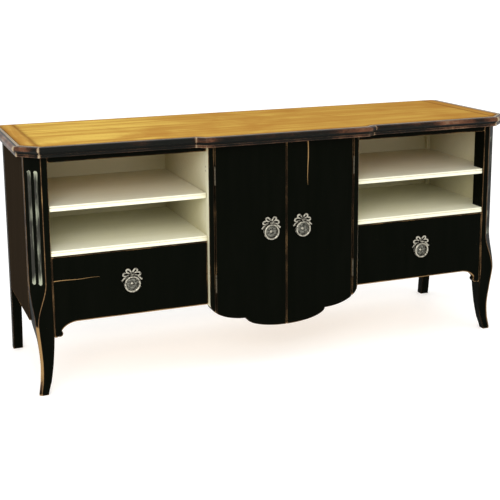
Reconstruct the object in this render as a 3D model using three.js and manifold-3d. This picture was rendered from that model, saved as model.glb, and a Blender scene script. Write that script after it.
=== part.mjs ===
// A painted television sideboard: a cherry top with a black moulding, an open niche and a drawer
// on each side, a two-door cupboard in the middle, cabriole front legs and straight back legs.
// Millimetres, +Z up, the front faces -Y. The origin is on the floor under the middle of the top.
import * as THREE from 'three';
import { mergeVertices } from 'three/addons/utils/BufferGeometryUtils.js';
import Module from 'manifold-3d';

const wasm = await Module();
wasm.setup();

// ---- Driving dimensions ----
const height = 720;
const gap = 0.3; // between pieces that touch
const topThickness = 30;
const carcassTop = height - topThickness - gap;
const backEdge = 250.5; // back of the top

// Top: a cherry field edged by the moulding.
const mouldingReach = 24;
const fieldHalfWidth = 770;
const bandWidth = 42;
const cantSide = { x: 770, y: -157.5 }; // where the canted corner leaves the end
const cantFront = { x: 724, y: -200.5 }; // where it meets the front
const notchOuter = { x: 280, y: -207.5 }; // the front steps forward here
const notchInner = { x: 256, y: -226.5 };

// Front posts and the planes of the front.
const postInner = 704.6;
const postCantStart = 723;
const sideFace = 764;
const postFront = -190.5;
const postCantEnd = -149.5;
const postBack = -133;
const drawerFrontPlane = -188.9;
const frontThickness = 20; // of the drawer fronts and the rails
const panelThickness = 19;
const sideInner = sideFace - panelThickness;

// Back legs and back panel.
const backLegInner = 733.5;
const backLegFront = 208;
const backLegBack = 238;
const backFoot = { front: 224, back: 250 };
const rakeBends = 90; // height where the back legs bend most
const backPanelFront = 225;
const backPanelThickness = 6;

// Centre cupboard.
const dividerInner = 226.6;
const dividerOuter = 244;
const stileFront = -204.5;
const stileBack = -172.3;
const doorEdge = 223.6; // leaves room for the hinge leaves beside the stile
const doorMeeting = 0.8;
const doorBow = 6;
const doorBack = -185.5;
const doorTop = 687.5;
const lobeTop = 213;
const cusp = { x: 130, z: 158 };
const lobeBottom = 122.5;

// Levels of the boards.
const carcassBottom = 210;
const boardThickness = 16;
const nicheFloorTop = 420;
const shelfTop = 548;
const cupboardShelfTop = 456;
const railBottom = 671.6;
const stopDrop = 16; // how far the rail behind the doors reaches below the other rails
const doorClearance = 2; // between the doors' backs and that rail
const cupboardShelfFront = -150;

// Drawers.
const drawerTop = 402.2;
const drawerBottomEdge = 209.8;
const drawerInner = 246;
const drawerOuter = 703.6;
const drawerBack = 200;
const drawerSideTop = 380;
const drawerSideBottom = 228;

// Ring pulls: centres of the rings on the doors and on the drawers.
const doorPull = { x: 51.4, z: 418.8 };
const drawerPull = { x: 476.6, z: 301.8 };
const ringRadius = 21.5;
const ringWire = 2.8;
const plateRadius = 24;
const pullPin = 1.2;
const pullBore = 1.28;
const pullAxisRise = 28.3; // pivot above the ring's centre
const pullAxisReach = 9; // pivot in front of the face it is fixed to

// ---- Finishes ----
const finishes = {
  cherry: new THREE.MeshStandardMaterial({ color: 0xc99a45, roughness: 0.42 }),
  cherryBand: new THREE.MeshStandardMaterial({ color: 0xbd8538, roughness: 0.42 }),
  blackPaint: new THREE.MeshStandardMaterial({ color: 0x0c0e0a, roughness: 0.38 }),
  creamPaint: new THREE.MeshStandardMaterial({ color: 0xe6e3c4, roughness: 0.6 }),
  bareWood: new THREE.MeshStandardMaterial({ color: 0xbf9f6e, roughness: 0.7 }),
  pewter: new THREE.MeshStandardMaterial({ color: 0xa8a390, roughness: 0.38, metalness: 1 }),
  hingeSteel: new THREE.MeshStandardMaterial({ color: 0x2c2a26, roughness: 0.45, metalness: 1 }),
};

const cabinet = new THREE.Group();

// Adds a named piece; at is its place, for pieces that are shaped about their own centre.
function addPiece(name, geometry, finish, at = [0, 0, 0]) {
  const mesh = new THREE.Mesh(geometry, finishes[finish].clone());
  mesh.name = name;
  mesh.position.set(...at);
  cabinet.add(mesh);
}

// ---- Shaping helpers ----
function outlineOf(points) {
  return new THREE.Shape(points.map(([u, v]) => new THREE.Vector2(u, v)));
}

// Pushes an outline in X and Y up from one height to another.
function extrudeUp(shape, bottom, top) {
  const geometry = new THREE.ExtrudeGeometry(shape, { depth: top - bottom, bevelEnabled: false });
  return geometry.translate(0, 0, bottom);
}

// Pushes an outline in X and Z back from the front plane to the back plane.
function extrudeBack(shape, front, back) {
  const settings = { depth: back - front, bevelEnabled: false, curveSegments: 10 };
  return new THREE.ExtrudeGeometry(shape, settings).rotateX(Math.PI / 2).translate(0, back, 0);
}

// Pushes an outline in Y and Z across from one X to another.
function extrudeAcross(shape, left, right) {
  const geometry = new THREE.ExtrudeGeometry(shape, { depth: right - left, bevelEnabled: false });
  const turn = new THREE.Matrix4().makeBasis(
    new THREE.Vector3(0, 1, 0),
    new THREE.Vector3(0, 0, 1),
    new THREE.Vector3(1, 0, 0),
  );
  return geometry.applyMatrix4(turn).translate(left, 0, 0);
}

// A rectangular board between two corners, given in any order.
function board([x0, x1], [y0, y1], [z0, z1]) {
  const box = new THREE.BoxGeometry(Math.abs(x1 - x0), Math.abs(y1 - y0), Math.abs(z1 - z0));
  return box.translate((x0 + x1) / 2, (y0 + y1) / 2, (z0 + z1) / 2);
}

// A round bar along X, from one end to the other.
function barAcross(radius, x0, x1, y, z, sides = 16) {
  const bar = new THREE.CylinderGeometry(radius, radius, Math.abs(x1 - x0), sides);
  return bar.rotateZ(Math.PI / 2).translate((x0 + x1) / 2, y, z);
}

// An upright round bar.
function barUp(radius, x, y, z0, z1, sides = 16) {
  const bar = new THREE.CylinderGeometry(radius, radius, z1 - z0, sides);
  return bar.rotateX(Math.PI / 2).translate(x, y, (z0 + z1) / 2);
}

function toSolid(geometry) {
  const bare = geometry.clone();
  bare.deleteAttribute('normal');
  bare.deleteAttribute('uv');
  const merged = mergeVertices(bare, 1e-3);
  const vertProperties = new Float32Array(merged.attributes.position.array);
  const triVerts = new Uint32Array(merged.index.array);
  return new wasm.Manifold(new wasm.Mesh({ numProp: 3, vertProperties, triVerts }));
}

function toGeometry(solid) {
  const mesh = solid.getMesh();
  const geometry = new THREE.BufferGeometry();
  geometry.setAttribute('position', new THREE.BufferAttribute(mesh.vertProperties, 3));
  geometry.setIndex(new THREE.BufferAttribute(mesh.triVerts, 1));
  return geometry;
}

function join(...geometries) {
  return toGeometry(geometries.map(toSolid).reduce((whole, next) => whole.add(next)));
}

function cut(geometry, ...tools) {
  return toGeometry(tools.map(toSolid).reduce((rest, tool) => rest.subtract(tool), toSolid(geometry)));
}

function common(first, second) {
  return toGeometry(toSolid(first).intersect(toSolid(second)));
}

// Smooth step from 0 at one value to 1 at the other.
function ease(value, from, to) {
  return THREE.MathUtils.smoothstep((value - from) / (to - from), 0, 1);
}

// ---- Top ----
const bandLine = fieldHalfWidth - bandWidth;

// Y of the canted corner's front line at a distance out from the middle.
function cantY(x) {
  const slope = (cantSide.y - cantFront.y) / (cantSide.x - cantFront.x);
  return cantFront.y + slope * (x - cantFront.x);
}

function topPanel() {
  const edge = bandLine - gap / 2;
  const inset = gap + gap / 2;
  const front = [
    [edge, cantY(edge) + inset],
    [cantFront.x - inset, cantFront.y + inset],
    [notchOuter.x + inset, notchOuter.y + inset],
    [notchInner.x - gap, notchInner.y + inset],
  ];
  const mirrored = front.map(([x, y]) => [-x, y]).reverse();
  const outline = [[edge, backEdge], ...front, ...mirrored, [-edge, backEdge]];
  addPiece('top_panel', extrudeUp(outlineOf(outline), height - topThickness, height), 'cherry');
}

// Cross-grained band across one end of the top.
function topBand(name, side) {
  const inner = bandLine + gap / 2;
  const outer = fieldHalfWidth - gap;
  const clear = 2 * gap;
  const corners = [
    [inner, backEdge],
    [inner, cantY(inner) + clear],
    [outer, cantY(outer) + clear],
    [outer, backEdge],
  ];
  const outline = outlineOf(corners.map(([x, y]) => [side * x, y]));
  addPiece(name, extrudeUp(outline, height - topThickness, height), 'cherryBand');
}

// The moulding's section: outward from the field's edge, and up. A bead over a cove and a fillet.
function mouldingProfile() {
  const bottom = height - topThickness;
  const fillet = { reach: 13, rise: 4 };
  const cove = { reach: 22, rise: 14 };
  const bead = { radius: 8, rise: 3, start: -0.5 };
  const quirk = { reach: 8, depth: 2 };
  const profile = new THREE.Shape();
  profile.moveTo(gap, bottom);
  profile.lineTo(fillet.reach, bottom);
  profile.lineTo(fillet.reach, bottom + fillet.rise);
  profile.quadraticCurveTo(fillet.reach + 1, bottom + cove.rise - 1, cove.reach, bottom + cove.rise);
  profile.lineTo(cove.reach, bottom + cove.rise + bead.rise);
  profile.absarc(mouldingReach - bead.radius, height - bead.radius, bead.radius, bead.start, Math.PI / 2);
  profile.lineTo(quirk.reach, height - quirk.depth);
  profile.lineTo(gap, height - quirk.depth);
  return profile;
}

// The moulding's path round the field, from the right back corner round the front to the left.
function mouldingPath() {
  const right = [{ x: fieldHalfWidth, y: backEdge }, cantSide, cantFront, notchOuter, notchInner];
  const left = right.map(({ x, y }) => ({ x: -x, y })).reverse();
  return [...right, ...left].map(({ x, y }) => new THREE.Vector2(x, y));
}

// At each corner of the path, how far one millimetre of profile reaches out, mitred.
function mitres(path) {
  const normals = path.slice(1).map((corner, i) => {
    const along = corner.clone().sub(path[i]).normalize();
    return new THREE.Vector2(-along.y, along.x);
  });
  return path.map((corner, i) => {
    const before = normals[Math.max(i - 1, 0)];
    const after = normals[Math.min(i, normals.length - 1)];
    return before.clone().add(after).divideScalar(1 + before.dot(after));
  });
}

// A stretch of moulding from one corner of the path to another, with a hair gap at each mitre.
function mouldingRun(path, first, last) {
  const outward = mitres(path);
  const runs = last - first;
  const settings = { depth: runs, steps: runs, bevelEnabled: false, curveSegments: 5 };
  const geometry = new THREE.ExtrudeGeometry(mouldingProfile(), settings);
  const position = geometry.attributes.position;
  for (let i = 0; i < position.count; i++) {
    const corner = first + Math.round(position.getZ(i));
    const place = path[corner].clone().addScaledVector(outward[corner], position.getX(i));
    if (corner === first && first > 0) {
      place.addScaledVector(path[first + 1].clone().sub(path[first]).normalize(), gap / 2);
    }
    if (corner === last && last < path.length - 1) {
      place.addScaledVector(path[last - 1].clone().sub(path[last]).normalize(), gap / 2);
    }
    position.setXYZ(i, place.x, place.y, position.getY(i));
  }
  return geometry;
}

function mouldings() {
  const path = mouldingPath();
  const pieces = {
    moulding_right_end: [0, 1],
    moulding_right_corner: [1, 2],
    moulding_front_right: [2, 3],
    moulding_front_centre: [3, 6],
    moulding_front_left: [6, 7],
    moulding_left_corner: [7, 8],
    moulding_left_end: [8, 9],
  };
  for (const [name, [first, last]] of Object.entries(pieces)) {
    addPiece(name, mouldingRun(path, first, last), 'blackPaint');
  }
}

// ---- Front legs ----
const cantStartsNarrowing = 330;
const cantTip = 207;
const ridgeShare = 0.84; // how nearly the cant closes, leaving a narrow ridge below the tip
const flute = { bottom: 321, top: 651, radius: 8, half: 6.5, offset: 11 };

// The leg's lines by height: the sharp front ridge, the inner face and the back of the leg.
const legStations = [0, 40, 90, 154, carcassBottom, cantStartsNarrowing];
const ridgeX = [753, 746, 743.5, 749, 755, 758];
const ridgeY = [-188.5, -183.5, -182.5, -189, -195.5, -193];
const innerX = [728, 717, 709.5, 705.5, postInner, postInner];
const backY = [-164, -158, -151, -143, postBack, postBack];
const outerBackX = [750.5, 744, 741.5, 748, 760, sideFace];

// A smooth line through the stations, read at one height.
function lineAt(values, z) {
  const points = legStations.map((station, i) => new THREE.Vector2(station, values[i]));
  const last = legStations.length - 1;
  const index = legStations.findIndex((station, i) => i < last && z < legStations[i + 1]);
  if (index < 0) return values[last];
  const t = (index + (z - legStations[index]) / (legStations[index + 1] - legStations[index])) / last;
  return new THREE.SplineCurve(points).getPoint(t).y;
}

// The five corners of the leg's section at a height: inner front, the cant's two ends, and the back.
function legSection(z) {
  const toRidge = 1 - ease(z, cantTip, cantStartsNarrowing);
  const ridge = new THREE.Vector2(lineAt(ridgeX, z), lineAt(ridgeY, z));
  const front = new THREE.Vector2(postCantStart, postFront).lerp(ridge, toRidge * ridgeShare);
  const side = new THREE.Vector2(sideFace, postCantEnd).lerp(ridge, toRidge * ridgeShare);
  const inCarcass = z >= carcassBottom;
  const inner = new THREE.Vector2(inCarcass ? postInner : lineAt(innerX, z), front.y);
  const back = inCarcass ? postBack : lineAt(backY, z);
  const outerBack = new THREE.Vector2(Math.min(lineAt(outerBackX, z), sideFace), back);
  const innerBack = new THREE.Vector2(inner.x, outerBack.y);
  return [inner, front, side, outerBack, innerBack];
}

// Stop-ended flute cut into the canted face, at an offset along the cant.
function fluteTool(side, along) {
  const middle = new THREE.Vector2((postCantStart + sideFace) / 2, (postFront + postCantEnd) / 2);
  const depthBack = Math.sqrt(flute.radius ** 2 - flute.half ** 2);
  const x = middle.x + (along + depthBack) * Math.SQRT1_2;
  const y = middle.y + (along - depthBack) * Math.SQRT1_2;
  const length = flute.top - flute.bottom - 2 * flute.radius;
  const tool = new THREE.CapsuleGeometry(flute.radius, length, 3, 12);
  return tool.rotateX(Math.PI / 2).translate(side * x, y, (flute.top + flute.bottom) / 2);
}

function frontLeg(name, side) {
  const rowHeight = 15;
  const heights = [];
  for (let z = 0; z < cantStartsNarrowing; z += rowHeight) heights.push(z);
  heights.push(cantStartsNarrowing, carcassTop);
  const unit = outlineOf(legSection(carcassTop).map(({ x, y }) => [x, y]));
  const steps = heights.length - 1;
  const geometry = new THREE.ExtrudeGeometry(unit, { depth: steps, steps, bevelEnabled: false });
  const position = geometry.attributes.position;
  const corners = legSection(carcassTop);
  for (let i = 0; i < position.count; i++) {
    const here = new THREE.Vector2(position.getX(i), position.getY(i));
    const corner = corners.findIndex((point) => point.distanceTo(here) < gap);
    const z = heights[Math.round(position.getZ(i))];
    const moved = legSection(z)[corner];
    position.setXYZ(i, moved.x, moved.y, z);
  }
  const leg = side < 0 ? mirrorX(geometry) : geometry;
  const tools = [fluteTool(side, -flute.offset), fluteTool(side, flute.offset)];
  addPiece(name, cut(leg, ...tools), 'blackPaint');
}

// The mirror image across the middle plane, with its faces turned to point outwards again.
function mirrorX(geometry) {
  const mirrored = geometry.clone().scale(-1, 1, 1);
  const position = mirrored.attributes.position;
  const swap = new THREE.Vector3();
  const other = new THREE.Vector3();
  for (let i = 0; i < position.count; i += 3) {
    swap.fromBufferAttribute(position, i + 1);
    other.fromBufferAttribute(position, i + 2);
    position.setXYZ(i + 1, ...other);
    position.setXYZ(i + 2, ...swap);
  }
  return mirrored;
}

// ---- Back legs, panels and boards ----
function backLeg(name, side) {
  const profile = new THREE.Shape();
  profile.moveTo(backLegFront, carcassTop);
  profile.lineTo(backLegFront, carcassBottom);
  profile.quadraticCurveTo(backLegFront + 2, rakeBends, backFoot.front, 0);
  profile.lineTo(backFoot.back, 0);
  profile.quadraticCurveTo(backLegBack, rakeBends, backLegBack, carcassBottom);
  profile.lineTo(backLegBack, carcassTop);
  const outer = sideFace - gap;
  const [left, right] = side < 0 ? [-outer, -backLegInner] : [backLegInner, outer];
  addPiece(name, extrudeAcross(profile, left, right), 'blackPaint');
}

function sidePanel(name, side) {
  const across = [side * sideInner, side * sideFace];
  const along = [postBack + gap, backLegFront - gap];
  addPiece(name, board(across, along, [carcassBottom, carcassTop]), 'blackPaint');
}

function backPanel() {
  const halfWidth = backLegInner - gap;
  const along = [backPanelFront, backPanelFront + backPanelThickness];
  const panel = board([-halfWidth, halfWidth], along, [carcassBottom, carcassTop]);
  addPiece('back_panel', panel, 'creamPaint');
}

// Outline of a side bay's board, notched round the front post and the back leg.
function bayOutline(side, front, clearance) {
  const inner = dividerOuter + clearance;
  const back = backPanelFront - clearance;
  const corners = [
    [inner, front],
    [postInner - clearance, front],
    [postInner - clearance, postBack + clearance],
    [sideInner - clearance, postBack + clearance],
    [sideInner - clearance, backLegFront - clearance],
    [backLegInner - clearance, backLegFront - clearance],
    [backLegInner - clearance, back],
    [inner, back],
  ];
  return outlineOf(corners.map(([x, y]) => [side * x, y]));
}

function bayBoard(name, side, top, front, clearance) {
  const outline = bayOutline(side, front, clearance);
  addPiece(name, extrudeUp(outline, top - boardThickness + gap, top), 'creamPaint');
}

function bottomBoard() {
  const front = drawerFrontPlane + frontThickness + 2 * gap;
  const right = [
    [postInner - gap, front],
    [postInner - gap, postBack + gap],
    [sideInner - gap, postBack + gap],
    [sideInner - gap, backLegFront - gap],
    [backLegInner - gap, backLegFront - gap],
    [backLegInner - gap, backPanelFront - gap],
  ];
  const left = right.map(([x, y]) => [-x, y]).reverse();
  const outline = outlineOf([...right, ...left]);
  const top = carcassBottom + boardThickness;
  addPiece('bottom_board', extrudeUp(outline, carcassBottom, top), 'creamPaint');
}

function divider(name, side) {
  const across = [side * dividerInner, side * dividerOuter];
  const up = [carcassBottom + boardThickness + gap, carcassTop];
  addPiece(name, board(across, [stileBack + gap, backPanelFront - gap], up), 'creamPaint');
}

// The scalloped lower edge of the centre: two lobes a side, from the outer corner to the middle.
function scallop(shape, side) {
  const steps = 10;
  for (let i = 0; i <= steps; i++) {
    const angle = (i / steps) * (Math.PI / 2);
    const x = cusp.x + (dividerOuter - cusp.x) * Math.cos(angle);
    shape.lineTo(side * x, lobeTop - (lobeTop - cusp.z) * Math.sin(angle));
  }
  for (let i = 1; i <= steps; i++) {
    const angle = (i / steps) * (Math.PI / 2);
    shape.lineTo(side * cusp.x * Math.cos(angle), cusp.z - (cusp.z - lobeBottom) * Math.sin(angle));
  }
}

// The whole centre front, from its top down to the scallop, on one side of the middle.
function centreFront(side) {
  const shape = new THREE.Shape();
  shape.moveTo(0, height);
  shape.lineTo(side * dividerOuter, height);
  scallop(shape, side);
  return extrudeBack(shape, stileFront - 2 * doorBow, 0);
}

function stile(name, side) {
  const strip = board([side * dividerInner, side * dividerOuter], [stileFront, stileBack], [0, carcassTop]);
  addPiece(name, common(strip, centreFront(side)), 'blackPaint');
}

function rails() {
  const up = [railBottom, carcassTop];
  const along = [drawerFrontPlane, drawerFrontPlane + frontThickness];
  for (const [name, side] of [['rail_left', -1], ['rail_right', 1]]) {
    const across = [side * (dividerOuter + gap), side * (postInner - gap)];
    addPiece(name, board(across, along, up), 'blackPaint');
  }
  const across = [-dividerInner + gap, dividerInner - gap];
  const behindDoors = doorBack + doorClearance;
  const doorStop = [behindDoors, behindDoors + frontThickness];
  addPiece('rail_centre', board(across, doorStop, [railBottom - stopDrop, carcassTop]), 'blackPaint');
}

function cupboardShelf() {
  const halfWidth = dividerInner - gap;
  const up = [cupboardShelfTop - boardThickness, cupboardShelfTop];
  const along = [cupboardShelfFront, backPanelFront - gap];
  addPiece('cupboard_shelf', board([-halfWidth, halfWidth], along, up), 'creamPaint');
}

// ---- Doors and hinges ----
const hinge = {
  x: 225.1,
  y: -207.4,
  radius: 2.5,
  pin: 1.2,
  bore: 1.28,
  length: 54,
  leaf: 1,
  depth: 16,
  offset: 0.2, // of each leaf from the axis
};
const hingeHeights = { lower: 275, upper: 600 };

function door(name, side) {
  const plan = new THREE.Shape();
  plan.moveTo(side * doorMeeting, doorBack);
  const steps = 10;
  for (let i = 0; i <= steps; i++) {
    const x = doorMeeting + (doorEdge - doorMeeting) * (i / steps);
    plan.lineTo(side * x, stileFront - doorBow * (1 - (x / doorEdge) ** 2));
  }
  plan.lineTo(side * doorEdge, doorBack);
  addPiece(name, common(extrudeUp(plan, 0, doorTop), centreFront(side)), 'blackPaint');
}

// One leaf: a plate beside the axis, on the side that away points to, cut back for the other
// leaf's knuckles, from one height above the hinge's middle to another.
function hingePlate(side, z, away, clearings) {
  const { x, y, length, leaf, depth, offset } = hinge;
  const near = side * (x + away * offset);
  const far = side * (x + away * (offset + leaf));
  const plate = board([near, far], [y, y + depth], [z - length / 2, z + length / 2]);
  const reach = hinge.radius + 0.6;
  const tools = clearings.map(([from, to]) => board(
    [side * (x - reach), side * (x + reach)],
    [y - reach, y + reach],
    [z + from, z + to],
  ));
  return cut(plate, ...tools);
}

// Fixed leaf: its plate on the stile, the top and bottom knuckles, and the pin between them.
function hingeStileLeaf(name, side, z) {
  const { y, radius, pin, length } = hinge;
  const x = side * hinge.x;
  const half = length / 2;
  const sixth = length / 6;
  const plate = hingePlate(side, z, 1, [[-sixth, sixth]]);
  const lower = barUp(radius, x, y, z - half, z - sixth);
  const upper = barUp(radius, x, y, z + sixth, z + half);
  const rod = barUp(pin, x, y, z - half + 1, z + half - 1);
  addPiece(name, join(plate, lower, upper, rod), 'hingeSteel');
}

// Moving leaf: its plate on the door's edge, and the middle knuckle, bored for the pin.
function hingeDoorLeaf(name, side, z) {
  const { y, radius, bore, length } = hinge;
  const x = side * hinge.x;
  const sixth = length / 6 - gap;
  const plate = hingePlate(side, z, -1, [[-length, -sixth], [sixth, length]]);
  const knuckle = barUp(radius, x, y, z - sixth, z + sixth);
  const hole = barUp(bore, x, y, z - length, z + length);
  addPiece(name, cut(join(plate, knuckle), hole), 'hingeSteel');
}

// ---- Drawers ----
// The drawer front's outline: a straight lower edge that sweeps down to a scroll by the leg.
function drawerFrontShape(side) {
  const scroll = { x: 689, z: 178, r: 9 };
  const foot = 168;
  const sweepStart = 640;
  const points = [
    [drawerInner, drawerTop],
    [drawerInner, drawerBottomEdge],
    [sweepStart, drawerBottomEdge],
  ];
  const sweep = new THREE.QuadraticBezierCurve(
    new THREE.Vector2(sweepStart, drawerBottomEdge),
    new THREE.Vector2(sweepStart + 30, drawerBottomEdge - 3),
    new THREE.Vector2(scroll.x - 4, scroll.z + 8),
  );
  for (const { x, y } of sweep.getPoints(6).slice(1)) points.push([x, y]);
  for (let angle = 130; angle <= 300; angle += 17) {
    const turn = THREE.MathUtils.degToRad(angle);
    points.push([scroll.x + scroll.r * Math.cos(turn), scroll.z + scroll.r * Math.sin(turn)]);
  }
  points.push([scroll.x + scroll.r - 1, foot], [drawerOuter, foot], [drawerOuter, drawerTop]);
  return outlineOf(points.map(([x, z]) => [side * x, z]));
}

function drawer(name, side) {
  const wall = 12;
  const frontBack = drawerFrontPlane + frontThickness;
  const inner = drawerInner + 6;
  const outer = drawerOuter - 4;
  const start = frontBack + gap;
  const up = [drawerSideBottom, drawerSideTop];
  const place = (from, to) => [side * from, side * to];
  addPiece(`${name}_front`, extrudeBack(drawerFrontShape(side), drawerFrontPlane, frontBack), 'blackPaint');
  addPiece(`${name}_inner_side`, board(place(inner, inner + wall), [start, drawerBack], up), 'bareWood');
  addPiece(`${name}_outer_side`, board(place(outer - wall, outer), [start, drawerBack], up), 'bareWood');
  const between = place(inner + wall + gap, outer - wall - gap);
  addPiece(`${name}_back`, board(between, [drawerBack - wall, drawerBack], up), 'bareWood');
  const base = [drawerSideBottom + 6, drawerSideBottom + 12];
  addPiece(`${name}_bottom`, board(between, [start, drawerBack - wall - gap], base), 'bareWood');
}

// Strip on the bottom board that keeps the drawer's outer side off the side panel.
function drawerGuide(name, side) {
  const across = [side * (drawerOuter - 2.5), side * (sideInner - gap)];
  const floor = carcassBottom + boardThickness + gap;
  addPiece(name, board(across, [postBack + gap, backLegFront - gap], [floor, floor + 34]), 'bareWood');
}

// ---- Ring pulls ----
// A ribbon bow in outline: two open loops over a knot, with a tail at each side.
function bowShape() {
  const bow = new THREE.Shape();
  bow.moveTo(-5, 20);
  bow.quadraticCurveTo(-20, 14, -31, 6);
  bow.quadraticCurveTo(-28, 18, -24, 24);
  bow.quadraticCurveTo(-22, 36, -12, 38);
  bow.quadraticCurveTo(-14, 48, -4, 47);
  bow.quadraticCurveTo(0, 45, 4, 47);
  bow.quadraticCurveTo(14, 48, 12, 38);
  bow.quadraticCurveTo(22, 36, 24, 24);
  bow.quadraticCurveTo(28, 18, 31, 6);
  bow.quadraticCurveTo(20, 14, 5, 20);
  for (const side of [-1, 1]) {
    const loop = new THREE.Path();
    loop.absellipse(side * 13, 29, 4.5, 3.2, 0, Math.PI * 2, false, 0);
    bow.holes.push(loop);
  }
  return bow;
}

// Cast plate: a dished disc, the bow, and two lugs that hold the pivot pin.
function pullPlate(name, at, face) {
  const thickness = 3;
  const rim = [[0, 0], [plateRadius, 0], [plateRadius, thickness - 0.6], [plateRadius - 2, thickness]];
  const dishAndBoss = [[14, 1.6], [6, 2.2], [3, thickness], [0, thickness]];
  const profile = [...rim, ...dishAndBoss].map(([r, y]) => new THREE.Vector2(r, y));
  const disc = new THREE.LatheGeometry(profile, 24).rotateX(Math.PI);
  const bow = extrudeBack(bowShape(), -thickness, 0);
  const lugs = [-1, 1].map((side) => join(
    board([side * 3, side * 5], [-pullAxisReach, 0], [pullAxisRise - 3, pullAxisRise + 3]),
    barAcross(3, side * 3, side * 5, -pullAxisReach, pullAxisRise),
  ));
  const root = board([-5, 5], [-thickness, 0], [15, pullAxisRise]);
  const pin = barAcross(pullPin, -4, 4, -pullAxisReach, pullAxisRise);
  addPiece(name, join(disc, bow, root, pin, ...lugs), 'pewter', [at.x, face - gap, at.z]);
}

// Ring with a bored eye above it that turns on the pivot pin.
function pullRing(name, at, face) {
  const ring = new THREE.TorusGeometry(ringRadius, ringWire, 10, 28).rotateX(Math.PI / 2);
  const neck = board([-1.8, 1.8], [-1.8, 1.8], [ringRadius + 1, pullAxisRise]);
  const eye = barAcross(2.9, -2.6, 2.6, 0, pullAxisRise);
  const bore = barAcross(pullBore, -4, 4, 0, pullAxisRise);
  const shape = cut(join(ring, neck, eye), bore);
  addPiece(name, shape, 'pewter', [at.x, face - gap - pullAxisReach, at.z]);
}

// ---- Assembly ----
const sides = [['left', -1], ['right', 1]];

topPanel();
mouldings();
backPanel();
bottomBoard();
rails();
cupboardShelf();
for (const [word, side] of sides) {
  topBand(`top_band_${word}`, side);
  frontLeg(`front_leg_${word}`, side);
  backLeg(`back_leg_${word}`, side);
  sidePanel(`side_panel_${word}`, side);
  divider(`divider_${word}`, side);
  stile(`stile_${word}`, side);
  bayBoard(`niche_floor_${word}`, side, nicheFloorTop, drawerFrontPlane + 1, gap);
  bayBoard(`shelf_${word}`, side, shelfTop, drawerFrontPlane + 3.4, 1.5);
  drawerGuide(`drawer_guide_${word}`, side);
  drawer(`drawer_${word}`, side);
  door(`door_${word}`, side);
  for (const [level, z] of Object.entries(hingeHeights)) {
    hingeStileLeaf(`hinge_${word}_${level}_stile_leaf`, side, z);
    hingeDoorLeaf(`hinge_${word}_${level}_door_leaf`, side, z);
  }
  const onDoor = { x: side * doorPull.x, z: doorPull.z };
  const doorFace = stileFront - doorBow * (1 - ((doorPull.x + 31) / doorEdge) ** 2);
  const onDrawer = { x: side * drawerPull.x, z: drawerPull.z };
  pullPlate(`door_pull_${word}_plate`, onDoor, doorFace - 0.6);
  pullRing(`door_pull_${word}_ring`, onDoor, doorFace - 0.6);
  pullPlate(`drawer_pull_${word}_plate`, onDrawer, drawerFrontPlane);
  pullRing(`drawer_pull_${word}_ring`, onDrawer, drawerFrontPlane);
}

export default cabinet;
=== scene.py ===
# The looks of a black painted television sideboard with a cherry top, built round its CAD frame.
# Shapes are given in millimetres, and add_piece turns them into metres. The front faces -Y.
import math

import bmesh
import bpy
from mathutils import Matrix, Vector


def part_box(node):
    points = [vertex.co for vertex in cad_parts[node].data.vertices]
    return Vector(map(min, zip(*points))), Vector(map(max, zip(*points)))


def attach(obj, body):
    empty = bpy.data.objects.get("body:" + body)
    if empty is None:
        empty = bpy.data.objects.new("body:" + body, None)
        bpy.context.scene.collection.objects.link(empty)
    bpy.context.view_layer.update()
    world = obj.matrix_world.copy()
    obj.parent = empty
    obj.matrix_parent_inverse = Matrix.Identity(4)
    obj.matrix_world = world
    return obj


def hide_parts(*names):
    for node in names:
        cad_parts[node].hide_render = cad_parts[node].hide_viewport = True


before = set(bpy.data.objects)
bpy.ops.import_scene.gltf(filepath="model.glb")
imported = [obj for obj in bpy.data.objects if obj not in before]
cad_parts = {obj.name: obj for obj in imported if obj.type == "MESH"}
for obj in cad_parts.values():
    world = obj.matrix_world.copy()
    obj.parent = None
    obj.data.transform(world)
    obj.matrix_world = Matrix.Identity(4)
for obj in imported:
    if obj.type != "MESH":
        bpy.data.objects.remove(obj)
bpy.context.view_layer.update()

MM = 0.001
SIDES = (("left", -1), ("right", 1))

# Heights between which the front posts are fluted, which their paint follows as well.
FLUTE_BOTTOM = 321
FLUTE_TOP = 651


def box_mm(node):
    """Lowest and highest corner of a CAD node, in millimetres."""
    low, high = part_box(node)
    return low / MM, high / MM


def off_middle(low, high):
    """How far the near and the far side of a box are from the cabinet's middle."""
    return sorted((abs(low.x), abs(high.x)))


def smooth_step(value, start, end):
    """0 below start, 1 above end, and a smooth slope between them."""
    share = min(1, max(0, (value - start) / (end - start)))
    return share * share * (3 - 2 * share)


# ---- Material nodes ----
def add_node(tree, kind, inputs=None, **settings):
    """A node with its settings, whose inputs are values or the sockets that feed them."""
    made = tree.nodes.new(kind)
    for name, value in settings.items():
        setattr(made, name, value)
    for name, value in (inputs or {}).items():
        if isinstance(value, bpy.types.NodeSocket):
            tree.links.new(value, made.inputs[name])
        else:
            made.inputs[name].default_value = value
    return made


def object_place(tree):
    """The point on the piece, in metres, which for every piece is also its place at rest."""
    return add_node(tree, "ShaderNodeTexCoord").outputs["Object"]


def place_along(tree, axis):
    """How far the point lies along the X, Y or Z axis, in metres."""
    return add_node(tree, "ShaderNodeSeparateXYZ", {"Vector": object_place(tree)}).outputs[axis]


def noise(tree, scale, detail=4, stretch=(1, 1, 1), distortion=0, roughness=0.5):
    """Noise from 0 to 1, with that many features a metre along each axis where stretch is 1."""
    spread = add_node(tree, "ShaderNodeMapping", {"Vector": object_place(tree), "Scale": stretch})
    values = {
        "Vector": spread.outputs["Vector"],
        "Scale": scale,
        "Detail": detail,
        "Roughness": roughness,
        "Distortion": distortion,
    }
    return add_node(tree, "ShaderNodeTexNoise", values).outputs["Fac"]


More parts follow.
